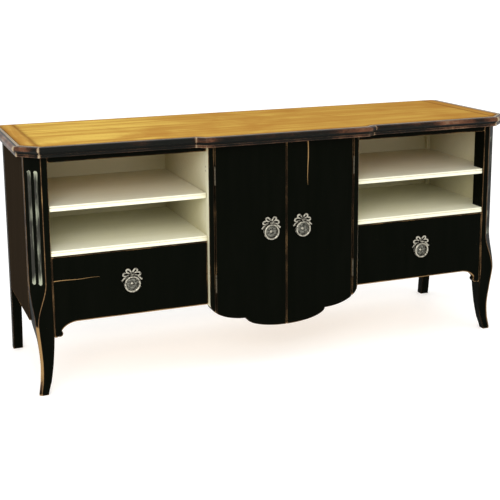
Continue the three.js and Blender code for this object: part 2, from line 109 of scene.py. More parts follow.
def calculate(tree, operation, first, second=0.0, third=0.0):
    """One sum. MULTIPLY_ADD is first times second plus third."""
    made = add_node(tree, "ShaderNodeMath", {0: first, 1: second, 2: third}, operation=operation)
    return made.outputs[0]


def rise(tree, value, start, end):
    """A node that gives 0 below start, 1 above end, and a smooth slope between them."""
    inputs = {"Value": value, "From Min": start, "From Max": end}
    made = add_node(tree, "ShaderNodeMapRange", inputs, interpolation_type="SMOOTHSTEP")
    return made.outputs["Result"]


def blend_colours(tree, share, first, second):
    """The first colour where share is 0, and the second where it is 1."""
    inputs = {0: share, 6: first, 7: second}
    return add_node(tree, "ShaderNodeMix", inputs, data_type="RGBA").outputs[2]


def exposed_edges(tree, reach):
    """How near a convex edge the point is: 0 on a flat face, towards 1 on a sharp edge."""
    inside = add_node(
        tree,
        "ShaderNodeAmbientOcclusion",
        {"Distance": reach},
        samples=8,
        inside=True,
        only_local=True,
    )
    return calculate(tree, "SUBTRACT", 1.0, inside.outputs["AO"])


def hollows(tree, reach):
    """How deep in a corner or a hollow the point is: 0 in the open."""
    outside = add_node(tree, "ShaderNodeAmbientOcclusion", {"Distance": reach}, samples=8)
    return calculate(tree, "SUBTRACT", 1.0, outside.outputs["AO"])


def raised(tree, height, distance, strength=0.5):
    """The normal of a surface with that fine relief, in metres."""
    inputs = {"Height": height, "Distance": distance, "Strength": strength}
    return add_node(tree, "ShaderNodeBump", inputs).outputs["Normal"]


def start_material(name, **shader_values):
    """A new material with its own shader. The values are the same all over the surface."""
    material = bpy.data.materials.new(name)
    material.use_nodes = True
    tree = material.node_tree
    shader = tree.nodes["Principled BSDF"]
    for socket, value in shader_values.items():
        shader.inputs[socket.replace("_", " ")].default_value = value
    return material, tree, shader


def colour(red, green, blue):
    """A colour as a picture shows it, 0 to 255, for a shader that works in linear light."""
    def linear(value):
        share = value / 255
        return share / 12.92 if share <= 0.04045 else ((share + 0.055) / 1.055) ** 2.4
    return (linear(red), linear(green), linear(blue), 1)


# ---- Materials ----
def cherry(name, along, light, dark):
    """Waxed cherry with its grain along one axis: soft figure, fine pores, darker at its edges, and a painted
    shade that darkens it towards the right.
    """
    material, tree, shader = start_material(name, Specular_IOR_Level=0.0)
    across = [1 if axis == along else 16 for axis in range(3)]
    figure = noise(tree, 2.2, 5, across, distortion=0.5, roughness=0.62)
    finer_across = [stretch * stretch for stretch in across]
    fine = noise(tree, 9, 6, finer_across, distortion=0.2, roughness=0.7)
    patches = noise(tree, 4.5, 4, distortion=0.6)
    figured = blend_colours(tree, rise(tree, figure, 0.36, 0.62), light, dark)
    shaded = calculate(tree, "MULTIPLY", rise(tree, fine, 0.42, 0.72), 0.5)
    grained = blend_colours(tree, shaded, figured, colour(120, 78, 30))
    mottled = calculate(tree, "MULTIPLY", rise(tree, patches, 0.42, 0.7), 0.7)
    toned = blend_colours(tree, mottled, grained, colour(166, 114, 50))
    # Painted shade: the wood darkens towards a redder brown to the right, so that the left of the top looks
    # lit.
    shade_to_right = calculate(tree, "MULTIPLY", rise(tree, place_along(tree, "X"), -0.75, 0.35), 0.6)
    with_shade_to_right = blend_colours(tree, shade_to_right, toned, colour(164, 116, 52))
    edges = calculate(tree, "MULTIPLY", rise(tree, exposed_edges(tree, 0.016), 0.05, 0.5), 0.6)
    final = blend_colours(tree, edges, with_shade_to_right, colour(112, 66, 28))
    tree.links.new(final, shader.inputs["Base Color"])
    tree.links.new(calculate(tree, "MULTIPLY_ADD", fine, 0.2, 0.36), shader.inputs["Roughness"])
    tree.links.new(raised(tree, fine, 0.0002, 0.4), shader.inputs["Normal"])
    return material


def black_paint(name, paint, brown, wood, gloss):
    """Satin black paint, rubbed through at the edges to a brown coat and, in places, to the wood.

    A piece's own "rubbed" attribute marks where hands and dusting have rubbed it most."""
    material, tree, shader = start_material(name, Specular_IOR_Level=gloss)
    patches = noise(tree, 11, 3)
    chips = noise(tree, 130, 4, roughness=0.7)
    brushed = noise(tree, 5, 5, (8, 8, 1), distortion=0.3, roughness=0.6)
    marked = add_node(tree, "ShaderNodeAttribute", attribute_name="rubbed").outputs["Fac"]
    sharp_edges = calculate(tree, "POWER", exposed_edges(tree, 0.006), 1.6)
    edges = calculate(tree, "MULTIPLY", sharp_edges, 2.7)
    with_marks = calculate(tree, "MULTIPLY_ADD", marked, 1.25, edges)
    with_patches = calculate(tree, "MULTIPLY_ADD", patches, 1.3, with_marks)
    rubbed = calculate(tree, "MULTIPLY_ADD", chips, 0.5, with_patches)
    coat = blend_colours(tree, brushed, *paint)
    to_brown = rise(tree, rubbed, 1.4, 1.7)
    browned = blend_colours(tree, to_brown, coat, brown)
    final = blend_colours(tree, rise(tree, rubbed, 1.72, 2.05), browned, wood)
    tree.links.new(final, shader.inputs["Base Color"])
    tree.links.new(calculate(tree, "MULTIPLY_ADD", brushed, 0.16, 0.3), shader.inputs["Roughness"])
    worn_relief = calculate(tree, "MULTIPLY_ADD", to_brown, -0.6, brushed)
    tree.links.new(raised(tree, worn_relief, 0.0003, 0.35), shader.inputs["Normal"])
    return material


def silvered_flute_with_painted_highlight():
    """The flutes' pale grey-green coat, streaked with the black paint, with a painted highlight that
    brightens it near both round ends.
    """
    material, tree, shader = start_material("silvered_flute_with_painted_highlight", Specular_IOR_Level=0.3)
    streaks = noise(tree, 30, 5, (6, 6, 0.5), distortion=0.4, roughness=0.7)
    mottle = noise(tree, 12, 4)
    middle_height = (FLUTE_BOTTOM + FLUTE_TOP) / 2 * MM
    above_middle = calculate(tree, "SUBTRACT", place_along(tree, "Z"), middle_height)
    from_middle = calculate(tree, "ABSOLUTE", above_middle)
    # Painted highlight: the coat brightens near both ends of the flute, where the round ends catch the light.
    ends = rise(tree, from_middle, 0.12, 0.16)
    mixed = calculate(tree, "MULTIPLY_ADD", mottle, 0.8, streaks)
    with_end_highlight = calculate(tree, "MULTIPLY_ADD", ends, 0.3, mixed)
    silvered = rise(tree, with_end_highlight, 0.86, 1.34)
    aged = blend_colours(tree, silvered, colour(30, 29, 20), colour(172, 176, 152))
    tree.links.new(aged, shader.inputs["Base Color"])
    tree.links.new(calculate(tree, "MULTIPLY_ADD", streaks, 0.2, 0.35), shader.inputs["Roughness"])
    tree.links.new(raised(tree, streaks, 0.0003, 0.3), shader.inputs["Normal"])
    return material


def cream_paint():
    """Cream paint with soft brush marks and thin at the edges. Its corners and hollows carry a painted shade
    of deep yellow, stronger on walls than on floors.
    """
    material, tree, shader = start_material("cream_paint", Specular_IOR_Level=0.2)
    brushed = noise(tree, 6, 4, (1, 10, 10), distortion=0.2)
    aged = noise(tree, 4, 3)
    base = blend_colours(tree, brushed, colour(242, 241, 224), colour(233, 231, 207))
    yellowed = blend_colours(tree, calculate(tree, "MULTIPLY", aged, 0.4), base, colour(226, 220, 184))
    normal = add_node(tree, "ShaderNodeTexCoord").outputs["Normal"]
    upward = add_node(tree, "ShaderNodeSeparateXYZ", {"Vector": normal}).outputs["Z"]
    # Painted shade: a deep yellow darkening in corners and hollows, strong on upright walls and slight on
    # floors, where less light falls.
    shade_on_walls = calculate(tree, "MULTIPLY_ADD", rise(tree, upward, 0.2, 0.9), -0.75, 0.95)
    painted_shade = calculate(tree, "MULTIPLY", hollows(tree, 0.15), shade_on_walls)
    with_painted_shade = blend_colours(tree, painted_shade, yellowed, colour(168, 155, 94))
    worn = noise(tree, 60, 4)
    edges = calculate(tree, "MULTIPLY_ADD", worn, 0.8, exposed_edges(tree, 0.004))
    final = blend_colours(tree, rise(tree, edges, 0.85, 1.1), with_painted_shade, colour(168, 156, 116))
    tree.links.new(final, shader.inputs["Base Color"])
    tree.links.new(calculate(tree, "MULTIPLY_ADD", brushed, 0.15, 0.45), shader.inputs["Roughness"])
    tree.links.new(raised(tree, brushed, 0.0002, 0.3), shader.inputs["Normal"])
    return material


def bare_wood():
    """Sanded light wood with its grain front to back."""
    material, tree, shader = start_material("bare_wood", Specular_IOR_Level=0.25)
    figure = noise(tree, 4, 4, (9, 1, 9), distortion=0.8)
    fine = noise(tree, 14, 6, (60, 2, 60), roughness=0.7)
    figured = blend_colours(tree, figure, colour(208, 180, 138), colour(180, 146, 102))
    final = blend_colours(tree, calculate(tree, "MULTIPLY", fine, 0.4), figured, colour(132, 96, 56))
    tree.links.new(final, shader.inputs["Base Color"])
    tree.links.new(calculate(tree, "MULTIPLY_ADD", fine, 0.2, 0.5), shader.inputs["Roughness"])
    tree.links.new(raised(tree, fine, 0.0002, 0.4), shader.inputs["Normal"])
    return material


def old_metal(name, bright, dark, roughness):
    """Cast metal, darkened in its hollows and rubbed bright on its high spots."""
    material, tree, shader = start_material(name, Metallic=1.0)
    mottle = noise(tree, 220, 4)
    tarnish = calculate(tree, "MULTIPLY_ADD", mottle, 2.2, -0.6)
    hidden = calculate(tree, "MULTIPLY_ADD", hollows(tree, 0.006), 2.0, tarnish)
    final = blend_colours(tree, rise(tree, hidden, 0.36, 1.05), bright, dark)
    tree.links.new(final, shader.inputs["Base Color"])
    tree.links.new(calculate(tree, "MULTIPLY_ADD", mottle, 0.25, roughness), shader.inputs["Roughness"])
    tree.links.new(raised(tree, mottle, 0.0002, 0.35), shader.inputs["Normal"])
    return material


BLACK = (colour(3, 5, 2), colour(9, 10, 6))
# The sides' coat is browner and lighter than the front's black: a painted sheen for the light the sides
# reflect at a glancing angle.
SHEEN_BROWN_BLACK = (colour(33, 27, 20), colour(44, 36, 27))
BROWN_COAT = colour(76, 56, 40)
RED_BROWN_COAT = colour(92, 54, 34)
RUBBED_WOOD = colour(146, 116, 76)
GREY_WOOD = colour(158, 142, 114)

materials = {
    "cherry": cherry("cherry", 0, colour(226, 193, 96), colour(192, 150, 70)),
    "cherry_band": cherry("cherry_band", 1, colour(218, 181, 94), colour(184, 140, 68)),
    "black_paint": black_paint("black_paint", BLACK, BROWN_COAT, RUBBED_WOOD, 0.012),
    # Painted sheen on the side panels, which get no gloss of their own.
    "side_paint_painted_sheen": black_paint("side_paint_painted_sheen", SHEEN_BROWN_BLACK, BROWN_COAT, RUBBED_WOOD, 0.0),
    "moulding_paint": black_paint("moulding_paint", BLACK, RED_BROWN_COAT, GREY_WOOD, 0.1),
    "silvered_flute_with_painted_highlight": silvered_flute_with_painted_highlight(),
    "cream_paint": cream_paint(),
    "bare_wood": bare_wood(),
    "pewter": old_metal("pewter", colour(184, 179, 163), colour(18, 17, 14), 0.2),
    "dark_pewter": old_metal("dark_pewter", colour(132, 131, 120), colour(18, 17, 15), 0.3),
    "hinge_steel": old_metal("hinge_steel", colour(92, 84, 70), colour(34, 31, 26), 0.34),
}


# ---- Shapes: each is a pair of points and faces ----
# A point is its X, Y and Z and, where the paint is rubbed, how much, from 0 to 1.
def loft(rings):
    """A solid through rings that have the same number of points, with a face on each end."""
    count = len(rings[0])
    points = [tuple(point) for ring in rings for point in ring]
    faces = []
    for row in range(len(rings) - 1):
        for here in range(count):
            after = (here + 1) % count
            near, far = row * count, (row + 1) * count
            faces.append((near + here, near + after, far + after, far + here))
    last = (len(rings) - 1) * count
    faces.append(tuple(range(count)))
    faces.append(tuple(last + i for i in range(count)))
    return points, faces


def together(*shapes):
    """Several shapes as one."""
    points, faces = [], []
    for more_points, more_faces in shapes:
        start = len(points)
        points += more_points
        faces += [tuple(start + i for i in face) for face in more_faces]
    return points, faces


def placed(shape, at=(0, 0, 0), side=1):
    """The shape moved to a place, and mirrored across its own middle where side is -1."""
    points, faces = shape
    return [(side * x + at[0], y + at[1], z + at[2], *rest) for x, y, z, *rest in points], faces


def arc(centre, radius, start, end, steps):
    """Points on a round stretch, from one angle to another, in degrees."""
    angles = [math.radians(start + (end - start) * i / steps) for i in range(steps + 1)]
    return [(centre[0] + radius * math.cos(a), centre[1] + radius * math.sin(a)) for a in angles]


def curve(start, control, end, steps):
    """Points on a quadratic curve, its start left out."""
    points = []
    for i in range(1, steps + 1):
        t = i / steps
        weights = ((1 - t) ** 2, 2 * t * (1 - t), t * t)
        points.append(tuple(
            sum(w * p[axis] for w, p in zip(weights, (start, control, end))) for axis in range(2)
        ))
    return points


def turned(profile, segments=48):
    """A solid turned round an axis along Y. The profile is (radius, how far it stands forward)."""
    rings = []
    for radius, forward in profile:
        turns = [2 * math.pi * i / segments for i in range(segments)]
        rings.append([(radius * math.cos(a), -forward, radius * math.sin(a)) for a in turns])
    return loft(rings)


def bar(start, end, radius, segments=20):
    """A round bar along X with softened ends."""
    soft = radius * 0.2
    at_start = [(start, radius - soft), (start + soft, radius)]
    stations = at_start + [(end - soft, radius), (end, radius - soft)]
    turns = [2 * math.pi * i / segments for i in range(segments)]
    return loft([[(x, r * math.cos(a), r * math.sin(a)) for a in turns] for x, r in stations])


def ribbon(path, widths, depth, sides=10):
    """A band with an oval section along a path in X and Z, as wide at each point as widths says."""
    rings = []
    last = len(path) - 1
    for i, (x, z) in enumerate(path):
        before, after = path[max(i - 1, 0)], path[min(i + 1, last)]
        along = Vector((after[0] - before[0], after[1] - before[1])).normalized()
        ring = []
        for step in range(sides):
            turn = 2 * math.pi * step / sides
            out = widths[i] / 2 * math.cos(turn)
            ring.append((x - along.y * out, depth / 2 * math.sin(turn), z + along.x * out))
        rings.append(ring)
    return loft(rings)


def smooth_path(points, steps=6):
    """A smooth line through the points, which bends evenly at each."""
    path = []
    last = len(points) - 1
    for i in range(last):
        around = [points[max(i - 1, 0)], points[i], points[i + 1], points[min(i + 2, last)]]
        path += [through(around, step / steps) for step in range(steps)]
    return path + [tuple(points[-1])]


def through(around, t):
    """A point between the two middle ones of four, on a line that bends evenly through them."""
    return tuple(catmull(*values, t) for values in zip(*around))


def catmull(a, b, c, d, t):
    """A value between b and c, on the even bend through all four."""
    slope_in, slope_out = (c - a) / 2, (d - b) / 2
    cubic = 2 * b - 2 * c + slope_in + slope_out
    square = 3 * c - 3 * b - 2 * slope_in - slope_out
    return ((cubic * t + square) * t + slope_in) * t + b


def rounded(corners, radius, steps=4):
    """An outline in X and Y with its corners softened, never past the middle of a short edge."""
    outline = []
    for i, corner in enumerate(corners):
        here, before = Vector(corner), Vector(corners[i - 1])
        after = Vector(corners[(i + 1) % len(corners)])
        reach = min(radius, 0.45 * (before - here).length, 0.45 * (after - here).length)
        start = here + (before - here).normalized() * reach
        end = here + (after - here).normalized() * reach
        outline += [tuple(start)] + curve(start, here, end, steps)
    return outline


# ---- Making pieces ----
def add_piece(name, shape, finish, body, stands_for=(), bevel=0.0, soft_angle=30):
    """A piece from a shape in millimetres, riding on a body, in place of the CAD nodes named."""
    mesh = bpy.data.meshes.new(name)
    points, faces = shape
    mesh.from_pydata([Vector(point[:3]) * MM for point in points], [], faces)
    rubbed = mesh.attributes.new("rubbed", "FLOAT", "POINT")
    rubbed.data.foreach_set("value", [point[3] if len(point) > 3 else 0.0 for point in points])
    tidy = bmesh.new()
    tidy.from_mesh(mesh)
    bmesh.ops.remove_doubles(tidy, verts=tidy.verts, dist=0.01 * MM)
    bmesh.ops.recalc_face_normals(tidy, faces=tidy.faces)
    tidy.to_mesh(mesh)
    tidy.free()
    mesh.shade_smooth()
    mesh.set_sharp_from_angle(angle=math.radians(soft_angle))
    mesh.materials.append(materials[finish])
    piece = bpy.data.objects.new(name, mesh)
    bpy.context.scene.collection.objects.link(piece)
    if bevel:
        soften_edges(piece, bevel)
    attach(piece, body)
    if stands_for:
        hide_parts(*stands_for)
    return piece


def soften_edges(piece, width):
    """Rounds the sharp edges over a width in millimetres."""
    bevel = piece.modifiers.new("soft_edges", "BEVEL")
    bevel.width = width * MM
    bevel.segments = 3
    bevel.limit_method = "ANGLE"
    bevel.angle_limit = math.radians(30)
    bevel.harden_normals = True


def paint_faces(piece, finish, chosen):
    """Gives another finish to the faces that chosen picks by their normal and middle."""
    piece.data.materials.append(materials[finish])
    index = len(piece.data.materials) - 1
    for face in piece.data.polygons:
        if chosen(face.normal, face.center / MM):
            face.material_index = index


# ---- CAD nodes that stay, with their edges softened ----
def keep(node, finish, bevel=0.8):
    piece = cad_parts[node]
    piece.data.materials.clear()
    piece.data.materials.append(materials[finish])
    if bevel:
        soften_edges(piece, bevel)
    return piece


def keep_boards():
    keep("top_panel", "cherry", 0.4)
    for rail in ("rail_left", "rail_right", "rail_centre"):
        keep(rail, "black_paint")
    keep("cupboard_shelf", "cream_paint")
    bottom = keep("bottom_board", "cream_paint")
    paint_faces(bottom, "bare_wood", lambda normal, middle: normal.z < -0.5)
    back = keep("back_panel", "cream_paint", 0.5)
    paint_faces(back, "black_paint", lambda normal, middle: normal.y > 0.5)
    for word, side in SIDES:
        keep(f"top_band_{word}", "cherry_band", 0.4)
        keep(f"divider_{word}", "cream_paint")
        keep(f"drawer_guide_{word}", "bare_wood", 0.5)
        panel = keep(f"side_panel_{word}", "side_paint_painted_sheen")
        paint_faces(panel, "cream_paint", lambda normal, middle, s=side: normal.x * s < -0.5)
        for board in ("inner_side", "outer_side", "back", "bottom"):
            keep(f"drawer_{word}_{board}", "bare_wood")
        for level in ("lower", "upper"):
            for leaf in ("stile_leaf", "door_leaf"):
                keep(f"hinge_{word}_{level}_{leaf}", "hinge_steel", 0.15)


# ---- Moulding round the top ----
# The field's outline at the front right: the cant across its corner, and the step of the centre.
FIELD_GAP = 0.3
TOP_CANT_WIDTH = 46
TOP_CANT_BACK_Y = -157.5
TOP_CANT_FRONT_Y = -200.5
STEP_OUTER = (280, -207.5)
STEP_INNER = (256, -226.5)


def with_rub(points, rub):
    """The points of a profile, each with how rubbed the paint is there."""
    return [(*point, rub) for point in points]


def moulding_profile(top, bottom):
    """How far out, how high and how rubbed: a bead, a groove, a slope that turns over in a thumb,
    a lip, a cove and a fillet."""
    inner_face = [(0.4, bottom, 0.0), (0.4, top - 2.6, 0.0)]
    bead = with_rub(arc((2.6, top - 2.0), 1.7, 180, 20, 6), 0.7)
    groove = [(4.8, top - 3.0, 0.0), (5.5, top - 3.0, 0.0), (5.8, top - 0.8, 0.95), (8.2, top - 0.6, 0.9)]
    slope = with_rub(curve((8.2, top - 0.6), (12.5, top - 0.6), (15.6, top - 1.7), 4), 0.35)
    thumb = with_rub(arc((16.5, top - 8.2), 7.4, 92, -40, 12), 0.55)
    lip = [(21.4, top - 13.7, 0.1), (20.6, top - 15.0, 0.0)]
    cove = with_rub(curve((20.4, top - 15.2), (14.2, top - 15.6), (13.6, top - 21.8), 8), 0.0)
    fillet = [(14.8, top - 22.2, 0.4), (14.9, bottom + 4, 0.36), (14.6, bottom + 1, 0.4), (13.8, bottom, 0.1)]
    return inner_face + bead + groove + slope + thumb + lip + cove + fillet


def moulding_path():
    """The field's outline from the right back corner round the front to the left back corner."""
    high = box_mm("top_band_right")[1]
    end, back = high.x + FIELD_GAP, high.y
    cant = [(end, TOP_CANT_BACK_Y), (end - TOP_CANT_WIDTH, TOP_CANT_FRONT_Y)]
    right = [(end, back)] + cant + [STEP_OUTER, STEP_INNER]
    return [Vector(p) for p in right] + [Vector((-x, y)) for x, y in reversed(right)]


def mitres(path):
    """At each corner, how far one millimetre of profile reaches out."""
    normals = []
    for here, after in zip(path, path[1:]):
        along = (after - here).normalized()
        normals.append(Vector((-along.y, along.x)))
    reach = []
    for i in range(len(path)):
        before, after = normals[max(i - 1, 0)], normals[min(i, len(normals) - 1)]
        reach.append((before + after) / (1 + before.dot(after)))
    return reach


def moulding_places(path, outward, first, last):
    """Points along a length of moulding, how far one millimetre of profile reaches out at each,
    and how much more each is worn: the mitres are, and the straight between them isn't."""
    gap, worn_length, worn = 0.15, 14, 0.1
    places = []
    for corner in range(first, last):
        here, after = path[corner], path[corner + 1]
        along = (after - here).normalized()
        straight = Vector((-along.y, along.x))
        start = here + along * gap if corner == first and first > 0 else here
        places.append((start, outward[corner], worn))
        places.append((here + along * worn_length, straight, 0))
        places.append((after - along * worn_length, straight, 0))
    end = path[last]
    if last < len(path) - 1:
        end = end - along * gap
    return places + [(end, outward[last], worn)]


# Each length of moulding: its first and last corner on the path, and how much it is worn.
MOULDING_LENGTHS = {
    "right_end": (0, 1, 0.9),
    "right_corner": (1, 2, 0.8),
    "front_right": (2, 3, 0.8),
    "front_centre": (3, 6, 0.6),
    "front_left": (6, 7, 0.25),
    "left_corner": (7, 8, 0.7),
    "left_end": (8, 9, 1.0),
}


def add_mouldings():
    """The lengths of moulding, mitred at each corner with a hair gap between them."""
    path = moulding_path()
    outward = mitres(path)
    low, high = box_mm("top_panel")
    profile = moulding_profile(high.z, low.z)
    for name, (first, last, rub) in MOULDING_LENGTHS.items():
        rings = []
        for place, reach, worn in moulding_places(path, outward, first, last):
            ring = []
            for out, z, rubbed in profile:
                point = place + reach * out
                ring.append((point.x, point.y, z, min(1, rubbed * (rub + worn))))
            rings.append(ring)
        node = f"moulding_{name}"
        add_piece(f"{node}_shaped", loft(rings), "moulding_paint", "cabinet", [node], soft_angle=40)


# ---- Legs ----
# Where the edges of the right front leg are at each of its stations, which are heights. The post's
# canted face runs from CANT_FRONT to CANT_SIDE, and below it narrows to the ridge.
LEG_STATIONS = (0, 40, 90, 154, 210, 330)
RIDGE_X = (753, 746, 743.5, 749, 755, 758)
RIDGE_Y = (-188.5, -183.5, -182.5, -189, -195.5, -193)
INNER_X = (728, 717, 709.5, 705.5, 704.6, 704.6)
BACK_Y = (-164, -158, -151, -143, -133, -133)
OUTER_BACK_X = (750.5, 744, 741.5, 748, 760, 764)
CANT_FRONT = Vector((723, -190.5))
CANT_SIDE = Vector((764, -149.5))
CANT_TIP = 207
RIDGE_SHARE = 0.84
CARCASS_BOTTOM = 210
LEG_SOFTNESS = 2.4
FLUTE_RADIUS = 8
FLUTE_HALF_WIDTH = 6.5
FLUTE_OFFSET = 11


def line_at(values, z):
    """A smooth line through the leg's stations, read at one height."""
    if z >= LEG_STATIONS[-1]:
        return values[-1]
    i = max(n for n, station in enumerate(LEG_STATIONS) if station <= z)
    t = (z - LEG_STATIONS[i]) / (LEG_STATIONS[i + 1] - LEG_STATIONS[i])
    last = len(values) - 1
    return catmull(values[max(i - 1, 0)], values[i], values[i + 1], values[min(i + 2, last)], t)


def leg_wear(z):
    """How rubbed the ridge is at a height, less towards the foot, and how rubbed the inner edge is,
    only from the knee up."""
    below_tip = 1 - smooth_step(z, CANT_TIP - 6, CANT_TIP + 10)
    at_foot, full_height = 0.45, 110
    ridge = below_tip * (at_foot + (1 - at_foot) * smooth_step(z, 0, full_height))
    on_post, fall, fall_end = 0.5, 0.8, 120
    inner = on_post - fall * (1 - smooth_step(z, fall_end, CARCASS_BOTTOM))
    return ridge, inner


def leg_section(z):
    """The front leg's outline at a height, its canted face narrowing to a ridge below."""
    to_ridge = RIDGE_SHARE * (1 - smooth_step(z, CANT_TIP, LEG_STATIONS[-1]))
    ridge = Vector((line_at(RIDGE_X, z), line_at(RIDGE_Y, z)))
    front = CANT_FRONT.lerp(ridge, to_ridge)
    cant_end = CANT_SIDE.lerp(ridge, to_ridge)
    in_carcass = z >= CARCASS_BOTTOM
    inner = INNER_X[-1] if in_carcass else line_at(INNER_X, z)
    back = BACK_Y[-1] if in_carcass else line_at(BACK_Y, z)
    outer_back = min(line_at(OUTER_BACK_X, z), CANT_SIDE.x)
    corners = [(inner, front.y), tuple(front), tuple(cant_end), (outer_back, back), (inner, back)]
    ridge_wear, inner_wear = leg_wear(z)
    softened = rounded(corners, LEG_SOFTNESS)
    amounts = (inner_wear, 0.8, 0.75, 0.1, 0.1)
    rubbed = rub_corners(amounts, len(softened) // len(corners), ridge_wear)
    return [(x, y, z, rub) for (x, y), rub in zip(softened, rubbed)]


def rub_corners(amounts, points_each, ridge):
    """How rubbed each point of the leg's outline is: most at the middle of a corner, and all
    across the cant, the leg's second side, where it is only a narrow ridge."""
    rubbed = []
    half = points_each // 2
    for corner, amount in enumerate(amounts):
        for i in range(points_each):
            at_middle = math.sin(math.pi * i / (points_each - 1))
            on_cant = (corner == 1 and i >= half) or (corner == 2 and i <= half)
            rubbed.append(max(amount * at_middle, ridge if on_cant else 0))
    return rubbed


def capsule(radius, bottom, top, at, segments=24):
    """An upright round-ended rod."""
    rings = []
    half = [math.radians(a) for a in range(-85, 86, 10)]
    for a in half:
        centre = bottom + radius if a < 0 else top - radius
        turns = [2 * math.pi * i / segments for i in range(segments)]
        ring_radius, z = radius * math.cos(a), centre + radius * math.sin(a)
        rings.append([
            (at[0] + ring_radius * math.cos(t), at[1] + ring_radius * math.sin(t), z) for t in turns
        ])
    return loft(rings)


def cut_away(piece, tool):
    """Cuts a tool's shape out of a piece for good."""
    cutter = add_piece("cutter", tool, "bare_wood", "cabinet")
    boolean = piece.modifiers.new("cut", "BOOLEAN")
    boolean.object = cutter
    bpy.context.view_layer.update()
    evaluated = piece.evaluated_get(bpy.context.evaluated_depsgraph_get())
    made = bpy.data.meshes.new_from_object(evaluated)
    piece.modifiers.clear()
    piece.data = made
    made.set_sharp_from_angle(angle=math.radians(30))
    bpy.data.objects.remove(cutter)


def cut_flute(leg, side, offset):
    """Cuts a flute into the cant's face, that far off its middle, and gives it the silvered coat with its
    painted highlight at the ends.
    """
    out = Vector((1, -1)).normalized()
    along = Vector((1, 1)).normalized()
    standoff = math.sqrt(FLUTE_RADIUS ** 2 - FLUTE_HALF_WIDTH ** 2)
    at = (CANT_FRONT + CANT_SIDE) / 2 + out * standoff + along * offset
    cut_away(leg, capsule(FLUTE_RADIUS, FLUTE_BOTTOM, FLUTE_TOP, (side * at.x, at.y)))

    def in_flute(normal, middle):
        from_centre = at - Vector((side * middle.x, middle.y))
        is_deep = from_centre.dot(out) - standoff > 0.3
        is_between = abs(from_centre.dot(along)) < FLUTE_HALF_WIDTH
        return is_deep and is_between and FLUTE_BOTTOM < middle.z < FLUTE_TOP

    paint_faces(leg, "silvered_flute_with_painted_highlight", in_flute)


def add_front_legs():
    """Cabriole legs that run up into canted, twin-fluted posts."""
    top = box_mm("front_leg_left")[1].z
    curved_part = list(range(0, 336, 4))
    rings = [leg_section(z) for z in curved_part + [420, 540, 660, top]]
    for word, side in SIDES:
        shape = placed(loft(rings), side=side)
        leg = add_piece(f"front_leg_{word}_shaped", shape, "black_paint", "cabinet", [f"front_leg_{word}"])
        for offset in (-FLUTE_OFFSET, FLUTE_OFFSET):
            cut_flute(leg, side, offset)
        shade_evenly(leg)


def shade_evenly(piece):
    """Keeps large faces flat in the light where they meet soft corners."""
    weighted = piece.modifiers.new("even_shading", "WEIGHTED_NORMAL")
    weighted.keep_sharp = True


# How far the back legs rake at the foot, and the height from which they are cream in the niches.
BACK_LEG_REAR = 238
RAKE_FRONT = 16
RAKE_REAR = 12
RAKE_POWER = 1.8
CREAM_FROM = 226


def add_back_legs():
    """Straight legs that rake back below the carcass, cream where they stand in the niches."""
    panel_middle = (box_mm("back_panel")[0].y + box_mm("back_panel")[1].y) / 2
    for word, side in SIDES:
        node = f"back_leg_{word}"
        low, high = box_mm(node)
        near_x, far_x = off_middle(low, high)
        raked_part = list(range(0, CARCASS_BOTTOM, 15))
        rings = []
        for z in raked_part + [CARCASS_BOTTOM, CREAM_FROM, high.z]:
            rake = max(0, 1 - z / CARCASS_BOTTOM) ** RAKE_POWER
            front, back = low.y + RAKE_FRONT * rake, BACK_LEG_REAR + RAKE_REAR * rake
            corners = [(near_x, front), (far_x, front), (far_x, back), (near_x, back), (near_x, panel_middle)]
            rings.append([(side * x, y, z) for x, y in rounded(corners, 1.5)])
        leg = add_piece(f"{node}_shaped", loft(rings), "black_paint", "cabinet", [node])

        def inside_niche(normal, middle, side=side):
            faces_niche = normal.x * side < -0.7 or normal.y < -0.7
            return faces_niche and middle.z > CREAM_FROM and middle.y < panel_middle

        paint_faces(leg, "cream_paint", inside_niche)
        shade_evenly(leg)


# ---- Niche floors and shelves ----
PANEL_INNER_X = 745


def bay_outline(side, node, inset):
    """A bay board's plan, notched round the front post and the back leg, its front edge set in."""
    low, high = box_mm(node)
    inner, panel = off_middle(low, high)
    clearance = PANEL_INNER_X - panel
    post = INNER_X[-1] - clearance
    leg = box_mm("back_leg_right")[0]
    corners = [
        (inner, low.y + inset),
        (post, low.y + inset),
        (post, BACK_Y[-1] + clearance),
        (panel, BACK_Y[-1] + clearance),
        (panel, leg.y - clearance),
        (leg.x - clearance, leg.y - clearance),
        (leg.x - clearance, high.y),
        (inner, high.y),
    ]
    return [(side * x, y) for x, y in corners]


def add_bay_boards():
    """Boards whose front edge has a fine groove along it: how high it is, and how far set in."""
    edge = ((0, 0.8), (0.8, 0), (9.6, 0), (9.9, 1.4), (11.2, 1.4), (11.5, 0), (14.9, 0), (15.7, 0.8))
    for word, side in SIDES:
        for kind in ("niche_floor", "shelf"):
            node = f"{kind}_{word}"
            low = box_mm(node)[0]
            rings = [[(x, y, low.z + up) for x, y in bay_outline(side, node, inset)] for up, inset in edge]
            add_piece(f"{node}_edged", loft(rings), "cream_paint", "cabinet", [node], soft_angle=25)


# ---- Centre cupboard ----
# Half of its lower edge: a lobe from the middle to the cusp, and half a lobe from there to the end.
SCALLOP_OUTER = 244
SCALLOP_TOP = 213
CUSP_X = 130
CUSP_Z = 158
SCALLOP_BOTTOM = 122.5
DOOR_BOW = 6


def scallop(x):
    """Height of the centre's lower edge, that far to one side of its middle."""
    x = abs(x)
    if x >= CUSP_X:
        share = min(1, (x - CUSP_X) / (SCALLOP_OUTER - CUSP_X))
        return SCALLOP_TOP - (SCALLOP_TOP - CUSP_Z) * math.sqrt(1 - share * share)
    return CUSP_Z - (CUSP_Z - SCALLOP_BOTTOM) * math.sqrt(1 - (x / CUSP_X) ** 2)


